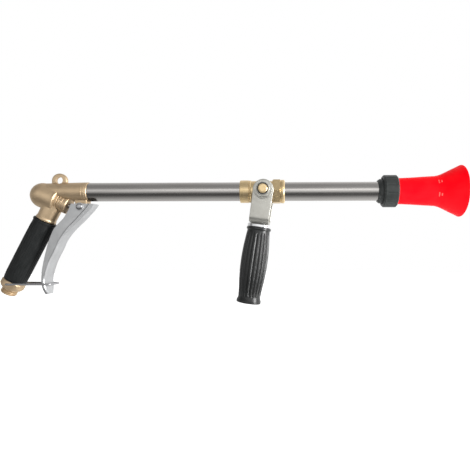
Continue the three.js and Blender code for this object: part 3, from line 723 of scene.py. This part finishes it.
def lockBail():
    pivot = joints["bail_swing"]["pos_m"]
    axes = (np.array(pivot), xAxis, yAxis, zAxis)
    side = np.array(bail["side"], float)
    flat = through(np.vstack([side * [1, -1], side[::-1]]), 160)
    centres = np.stack([flat[:, 0], flat[:, 1], np.zeros(len(flat))], 1)
    tangent = np.gradient(centres, axis=0)
    tangent /= np.linalg.norm(tangent, axis=1)[:, None]
    up = np.broadcast_to(np.array([0.0, 0.0, 1.0]), centres.shape)
    around = np.linspace(0, 2 * math.pi, 16, endpoint=False)
    section = bail["wire"] * np.stack([np.cos(around), np.sin(around)], 1)
    sections = np.broadcast_to(section, (len(centres), 16, 2))
    wire = sweptPiece("lockBail", centres, np.cross(tangent, up), up, sections, axes,
                      finishes["brightSteel"], 60)
    finishPiece(wire, "bail", "steel", "lock_bail")


# Trigger: a cast channel. Its front and rear edges are curves in the side view; the section between them
# is a U that opens to the rear, with rounded corners, and it narrows at the toe.
trigger = {"half": 12.0, "wall": 2.7, "stations": 110, "lip": 0.7, "groove": 0.55,
           "front": [[-227.8, -16.5], [-232.7, -23.4], [-239.7, -30.8], [-246.5, -37.9], [-253.8, -44.6],
                     [-260.8, -51.2], [-267.0, -57.8], [-272.3, -64.9], [-279.0, -78.6], [-286.3, -92.4],
                     [-291.3, -106.2], [-293.6, -118], [-292.8, -128], [-291.3, -138.0]],
           "rear": [[-258.0, -16.5], [-261.6, -25], [-267.4, -35], [-281, -50.2], [-287.8, -65.7],
                    [-292.7, -83.5], [-297.2, -105.3], [-298.2, -121], [-296.9, -129], [-294.9, -138.2]]}


def triggerPiece():
    t = trigger
    n = t["stations"]
    front, rear = through(t["front"], n), through(t["rear"], n)
    depth = np.linalg.norm(rear - front, axis=1)
    inward = (rear - front) / depth[:, None]
    share = np.linspace(0, 1, n)
    half = t["half"] - 4.8 * np.clip((share - 0.88) / 0.12, 0, 1) ** 2
    wall = np.where(share > 0.94, depth * 0.96, np.minimum(t["wall"], depth * 0.62))
    # bevel between the front and the sides: wide by the pivot, then almost a corner
    bevel = np.minimum(np.interp(share, [0, 0.32, 0.46, 0.6, 1], [4.2, 3.6, 1.6, 0.9, 0.8]), depth * 0.3)
    groove = np.minimum(t["groove"], depth * 0.06)
    lip = np.full(n, t["lip"])
    inner = half - 2.6
    innerR = np.minimum(1.6, np.maximum(depth - wall, 0.1) * 0.45)
    arc = np.linspace(0, math.pi / 2, 6)

    def corner(depthAt, acrossAt, radius, signs, turned):
        # an arc about (depthAt, acrossAt), from along the depth to along the width, or back
        a = arc[::-1] if turned else arc
        return np.stack([depthAt[:, None] - signs[0] * radius[:, None] * np.sin(a),
                         acrossAt[:, None] + signs[1] * radius[:, None] * np.cos(a)], -1)

    def points(*pairs):
        return np.stack([np.stack([np.broadcast_to(d, n), np.broadcast_to(w, n)], -1)
                         for d, w in pairs], 1)

    def frontSide(sign):
        run = [(bevel + groove * 4, sign * half), (bevel + groove * 2.6, sign * (half - groove)),
               (bevel + groove * 1.2, sign * half), (bevel, sign * half), (0.0, sign * (half - bevel))]
        return run if sign > 0 else run[::-1]

    loop = np.concatenate([
        corner(depth - lip, half - lip, lip, (-1, 1), True),
        points(*frontSide(1), *frontSide(-1)),
        corner(depth - lip, -half + lip, lip, (-1, -1), False),
        points((depth - 0.05, -inner)),
        corner(wall + innerR, -inner + innerR, innerR, (1, -1), False),
        corner(wall + innerR, inner - innerR, innerR, (1, 1), True),
        points((depth - 0.05, inner))], 1)
    centres = np.stack([front[:, 0], np.zeros(n), front[:, 1]], 1)
    first = np.stack([inward[:, 0], np.zeros(n), inward[:, 1]], 1)
    across = np.broadcast_to(np.array([0.0, 1.0, 0.0]), first.shape)
    obj = sweptPiece("trigger", centres, first, across, loop, lanceAxes, finishes["castAluminium"], 24)
    finishPiece(obj, "trigger", "cast_aluminium", "trigger")
    for side, sign in (("near", -1), ("far", 1)):
        boss = turnedPiece(side + "TriggerBoss", [
            [sign * 9.3, 3.3], [sign * 9.3, 6.0], [sign * 12.3, 5.6, 0.5], [sign * 12.3, 3.3, 0.2]],
            pinAxes, finishes["castAluminium"], 64)
        finishPiece(boss, "trigger", "cast_aluminium")


def triggerPin():
    pin = turnedPiece("triggerPin", [
        [-14.6, 0], [-14.6, 1.2], [-14.3, 2.6, 0.5], [-13.6, 4.1, 0.8], [-12.5, 4.5, 0.3], [-12.5, 3.0],
        [15.2, 3.0, 0.5], [15.2, 0]], pinAxes, finishes["brightSteel"], 64)
    finishPiece(pin, "lance", "steel", "trigger_pin")
    clip = turnedPiece("pinClip", [
        [12.6, 3.3], [12.6, 5.0, 0.3], [13.6, 5.0, 0.3], [13.6, 3.3]], pinAxes, finishes["brightSteel"], 48)
    finishPiece(clip, "lance", "steel", "pin_clip")


lockBail()
triggerPiece()
triggerPin()
print("trigger and bail made")


# Valve body: its shapes are joined, remeshed and smoothed, so that they flow together as a casting does,
# and then bored
casting = {"dome": 17.0, "chamberEnd": 22.5, "outlet": 13.1, "outletEnd": -237.0, "voxel": 0.55,
           "smoothing": 6}
eyelet = {"x": -278.6, "z": 15.9, "radius": 9.6, "widen": 1.1, "half": 2.8, "hole": 5.0,
          "rearFoot": 12.0, "frontFoot": 8.0}


def joined(name, parts):
    bpy.ops.object.select_all(action="DESELECT")
    for part in parts:
        part.select_set(True)
    bpy.context.view_layer.objects.active = parts[0]
    bpy.ops.object.join()
    parts[0].name = name
    return parts[0]


def applied(obj, kind, **settings):
    modifier = obj.modifiers.new("step", kind)
    for key, value in settings.items():
        setattr(modifier, key, value)
    bpy.context.view_layer.objects.active = obj
    bpy.ops.object.modifier_apply(modifier=modifier.name)


def bored(obj, tools):
    for tool in tools:
        applied(obj, "BOOLEAN", operation="DIFFERENCE", solver="EXACT", object=tool)
        bpy.data.objects.remove(tool)


def valveBody():
    c = casting
    metal = finishes["castBrass"]
    dome = np.linspace(math.pi, math.pi / 2, 24)
    chamber = turnedPiece("chamber", [
        *np.stack([c["dome"] * np.cos(dome), c["dome"] * np.sin(dome)], 1).tolist(),
        [c["chamberEnd"] - 2.0, 16.9], [c["chamberEnd"] - 1.0, 15.6], [c["chamberEnd"] - 0.5, 13.6],
        [24, 13.0], [24, 0]], chamberAxes, metal, 96)
    outlet = turnedPiece("outlet", [
        [-305, 0], [-305, 12.1], [-278, 12.4], [-250, c["outlet"]], [c["outletEnd"] - 2.5, c["outlet"]],
        [c["outletEnd"] - 2.0, 12.4], [c["outletEnd"] - 0.6, 12.2], [c["outletEnd"] - 0.6, 0]],
        lanceAxes, metal, 96)
    neck = turnedPiece("neck", [
        [-32, 0], [-32, 13.2], [-20, 12.9], [-4, 12.6], [-3.4, 13.4], [-1.0, 13.4], [-0.3, 12.8],
        [-0.3, 0]], gripAxes, metal, 96)
    # eyelet: a rounded flat ring whose foot spreads onto the outlet
    e = eyelet
    eyeX, eyeZ, eyeR, thick = e["x"], e["z"], e["radius"], e["half"]
    turn = np.linspace(0, 2 * math.pi, 72, endpoint=False)
    foot = np.clip(-np.sin(turn), 0, 1)
    spread = np.where(np.cos(turn) < 0, e["rearFoot"], e["frontFoot"]) * foot * np.sin(turn) ** 2
    rimX = eyeX + (eyeR + e["widen"]) * np.cos(turn) + np.sign(np.cos(turn)) * spread
    rimZ = eyeZ + (eyeR + 0.5 * foot) * np.sin(turn)
    eyeAxes = (lanceOrigin, yAxis, xAxis, zAxis)
    layers = np.array([[-thick, 0.0], [-thick, 0.86], [-thick + 1.0, 1.0], [thick - 1.0, 1.0],
                       [thick, 0.86], [thick, 0.0]])
    ringX = eyeX + (rimX - eyeX)[None] * layers[:, 1:]
    ringZ = eyeZ + (rimZ - eyeZ)[None] * layers[:, 1:]
    eye = makeMesh("eyelet", eyeAxes, np.repeat(layers[:, :1], 72, 1), ringX, ringZ,
                   gridFaces(6, 72, False, True), metal)
    # lug under the outlet that holds the trigger's pin
    lugLine = through([[-238.6, -8], [-239.4, -18], [-241.6, -23.8], [-246, -26.0], [-250.4, -24.0],
                       [-254.5, -15.5], [-257, -8]], 40)
    lugLine = np.vstack([lugLine, [[-252, -7], [-244, -7]]])
    width = np.array([-7.0, -6.95, 6.95, 7.0])
    shrink = np.array([0.0, 1.0, 1.0, 0.0])
    mid = lugLine.mean(0)
    lugX = mid[0] + (lugLine[:, 0] - mid[0])[None] * shrink[:, None]
    lugZ = mid[1] + (lugLine[:, 1] - mid[1])[None] * shrink[:, None]
    lug = makeMesh("lug", eyeAxes, np.repeat(width[:, None], len(lugLine), 1), lugX, lugZ,
                   gridFaces(4, len(lugLine), False, True), metal)
    body = joined("valveBody", [chamber, outlet, neck, eye, lug])
    applied(body, "REMESH", mode="VOXEL", voxel_size=c["voxel"] * mm, use_smooth_shade=True)
    applied(body, "SMOOTH", factor=0.5, iterations=c["smoothing"])

    def drill(axes, start, end, r):
        return turnedPiece("drill", [[start, 0], [start, r], [end, r], [end, 0]], axes, metal, 64)

    eyeDrill = (lanceOrigin + np.array([eyeX, 0, eyeZ]) * mm, yAxis, zAxis, xAxis)
    bored(body, [drill(eyeDrill, -9, 9, e["hole"]), drill(chamberAxes, 25.7, 42.0, 12.5),
                 drill(chamberAxes, -10, 27.0, 12.0), drill(chamberAxes, 38.5, 54, 4.0),
                 drill(lanceAxes, -256, -236, 10.3), drill(gripAxes, -14, 1, 9.3),
                 drill(pinAxes, -8, 8, 3.3)])
    body.data.materials.clear()
    body.data.materials.append(cadFinishes["cast_brass"])
    body.data.shade_smooth()
    body.data.set_sharp_from_angle(angle=math.radians(40))
    finishPiece(body, "lance", "cast_brass", "valve_body")
    # machined ends: a bevelled rim on the chamber with a seat for the gland nut, and the outlet's
    # ringed mouth
    end = c["chamberEnd"]
    rim = turnedPiece("chamberRim", [
        [end - 4.2, 12.0], [end - 4.2, 16.9], [end - 3.6, 17.05, 0.2], [end - 1.4, 17.05, 0.2],
        [end, 15.6, 0.3], [end + 0.1, 13.5, 0.3], [25.5, 13.4, 0.5], [25.5, 12.0]], chamberAxes, metal, 96)
    finishPiece(rim, "lance", "cast_brass")
    at = c["outletEnd"]
    mouth = turnedPiece("outletMouth", [
        [at - 9.2, 10.3], [at - 9.2, 13.1], [at - 8.8, 13.2], [at - 7.4, 13.2], [at - 7.2, 13.0],
        [at - 6.8, 13.0], [at - 6.6, 13.2], [at - 3.4, 13.2], [at - 3.2, 12.95], [at - 2.6, 12.95],
        [at - 2.4, 13.2], [at - 1.1, 13.2, 0.2], [at, 12.2, 0.2], [at, 10.3]], lanceAxes, metal, 128)
    finishPiece(mouth, "lance", "cast_brass")


def valveFittings():
    nut = turnedPiece("glandNut", [
        [21.5, 6.6], [21.5, 11.6], [25.8, 11.6], [25.8, 11.9, 0.3], [28.2, 11.9, 0.3], [28.5, 11.2],
        [29.2, 11.2], [29.5, 11.9, 0.3], [32.0, 11.9, 0.3], [32.3, 11.4], [33.0, 11.4], [33.3, 11.9, 0.3],
        [37.4, 11.9, 0.6], [38.5, 10.6, 0.3], [38.5, 3.3, 0.3], [30, 3.3], [30, 6.6]],
        chamberAxes, finishes["castBrass"], 96)
    finishPiece(nut, "lance", "turned_brass", "gland_nut")
    stem = turnedPiece("valveStem", [
        [6.4, 0], [6.4, 2.95], [48.6, 2.95], [49.5, 2.5], [50, 1.2], [50, 0]],
        chamberAxes, finishes["brightSteel"], 48)
    finishPiece(stem, "stem", "steel", "valve_stem")


valveBody()
valveFittings()
print("valve body made")


# Floor, lights and camera
studio = {"floorDrop": 0.42, "floorRadius": 9.0, "floorGlow": 0.72,
          # brightness by direction round the lance: 0 is towards the camera, 90 is up, -90 is down
          "skyBands": [(-180, 1.0), (-150, 0.95), (-120, 0.9), (-93, 0.7), (-78, 0.5), (-64, 0.3),
                       (-54, 0.16), (-42, 0.1), (-24, 0.16), (-12, 0.6), (0, 1.1), (10, 1.3), (22, 1.25),
                       (30, 0.75), (42, 0.5), (66, 0.44), (80, 0.5), (94, 0.52), (115, 0.85), (145, 1.0),
                       (180, 1.0)],
          "leftShare": 0.55, "rightShare": 1.4}
# Each light's place, target and size are in metres, and its power in watts
lights = {
    "keyLight": {"place": (0.2, -1.7, 0.62), "target": (0, 0, 0), "size": (1.6, 0.35), "watts": 1.2},
    "rightLight": {"place": (1.5, -0.55, 0.05), "target": (0, 0, -0.02), "size": (0.5, 1.2), "watts": 36},
}
# The camera's place is in millimetres from the lance's origin, and its turn in degrees
view = {"place": [32.0, -587.0, -75.6], "turn": (90, -0.12, 2.5), "sensor": 36.0,
        "lensShare": 440 / 470, "shift": (-0.0719, 0.0282)}


def paleFloor():
    material = bpy.data.materials.new("paleFloor")
    material.use_nodes = True
    shader = material.node_tree.nodes["Principled BSDF"]
    shader.inputs["Base Color"].default_value = (0.8, 0.8, 0.8, 1)
    shader.inputs["Roughness"].default_value = 0.9
    shader.inputs["Emission Color"].default_value = (1, 1, 1, 1)
    shader.inputs["Emission Strength"].default_value = studio["floorGlow"]
    turn = np.linspace(0, 2 * math.pi, 96, endpoint=False)
    corners = np.stack([np.cos(turn), np.sin(turn), np.zeros(96)], 1) * studio["floorRadius"]
    corners[:, 2] += cadBox[0][2] - studio["floorDrop"]
    mesh = bpy.data.meshes.new("floor")
    mesh.from_pydata(corners.tolist(), [], [list(range(96))])
    mesh.materials.append(material)
    floor = bpy.data.objects.new("floor", mesh)
    bpy.context.scene.collection.objects.link(floor)
    floor.visible_glossy = False


def studioWorld():
    world = bpy.data.worlds.new("studio")
    bpy.context.scene.world = world
    world.use_nodes = True
    nodes, links = world.node_tree.nodes, world.node_tree.links
    nodes.clear()
    where = nodes.new("ShaderNodeTexCoord")
    split = nodes.new("ShaderNodeSeparateXYZ")
    links.new(where.outputs["Generated"], split.inputs[0])
    front = nodes.new("ShaderNodeMath")
    front.operation = "MULTIPLY"
    front.inputs[1].default_value = -1.0
    links.new(split.outputs[1], front.inputs[0])
    turn = nodes.new("ShaderNodeMath")
    turn.operation = "ARCTAN2"
    links.new(split.outputs[2], turn.inputs[0])
    links.new(front.outputs[0], turn.inputs[1])
    share = nodes.new("ShaderNodeMapRange")
    share.inputs["From Min"].default_value = -math.pi
    share.inputs["From Max"].default_value = math.pi
    links.new(turn.outputs[0], share.inputs["Value"])
    bands = nodes.new("ShaderNodeValToRGB")
    brightest = max(level for _, level in studio["skyBands"])
    ramp = bands.color_ramp
    while len(ramp.elements) < len(studio["skyBands"]):
        ramp.elements.new(0.5)
    for element, (angle, level) in zip(ramp.elements, studio["skyBands"]):
        element.position = angle / 360 + 0.5
        element.color = (level / brightest, level / brightest, level / brightest, 1)
    links.new(share.outputs[0], bands.inputs[0])
    sides = nodes.new("ShaderNodeMapRange")
    sides.inputs["From Min"].default_value = -1.0
    sides.inputs["To Min"].default_value = studio["leftShare"] * brightest
    sides.inputs["To Max"].default_value = studio["rightShare"] * brightest
    links.new(split.outputs[0], sides.inputs["Value"])
    lit = nodes.new("ShaderNodeBackground")
    links.new(sides.outputs[0], lit.inputs[1])
    links.new(bands.outputs[0], lit.inputs[0])
    seen = nodes.new("ShaderNodeBackground")
    seen.inputs[0].default_value = (1, 1, 1, 1)
    ray = nodes.new("ShaderNodeLightPath")
    mix = nodes.new("ShaderNodeMixShader")
    links.new(ray.outputs["Is Camera Ray"], mix.inputs[0])
    links.new(lit.outputs[0], mix.inputs[1])
    links.new(seen.outputs[0], mix.inputs[2])
    out = nodes.new("ShaderNodeOutputWorld")
    links.new(mix.outputs[0], out.inputs[0])


def softLight(name, place, target, size, watts):
    light = bpy.data.lights.new(name, "AREA")
    light.shape = "RECTANGLE"
    light.size, light.size_y = size
    light.energy = watts
    obj = bpy.data.objects.new(name, light)
    bpy.context.scene.collection.objects.link(obj)
    obj.location = place
    aim = np.array(target) - np.array(place)
    obj.rotation_euler = (math.acos(-aim[2] / np.linalg.norm(aim)), 0, math.atan2(-aim[0], aim[1]))


def studioLights():
    for name, light in lights.items():
        softLight(name, light["place"], light["target"], light["size"], light["watts"])


def aimCamera():
    camera = bpy.data.cameras.new("camera")
    obj = bpy.data.objects.new("camera", camera)
    bpy.context.scene.collection.objects.link(obj)
    camera.sensor_width = view["sensor"]
    camera.lens = view["lensShare"] * camera.sensor_width
    camera.shift_x, camera.shift_y = view["shift"]
    obj.location = lanceOrigin + np.array(view["place"]) * mm
    obj.rotation_euler = [math.radians(a) for a in view["turn"]]
    bpy.context.scene.camera = obj


paleFloor()
studioWorld()
studioLights()
aimCamera()
bpy.context.scene.view_settings.view_transform = "Standard"
print("scene ready")
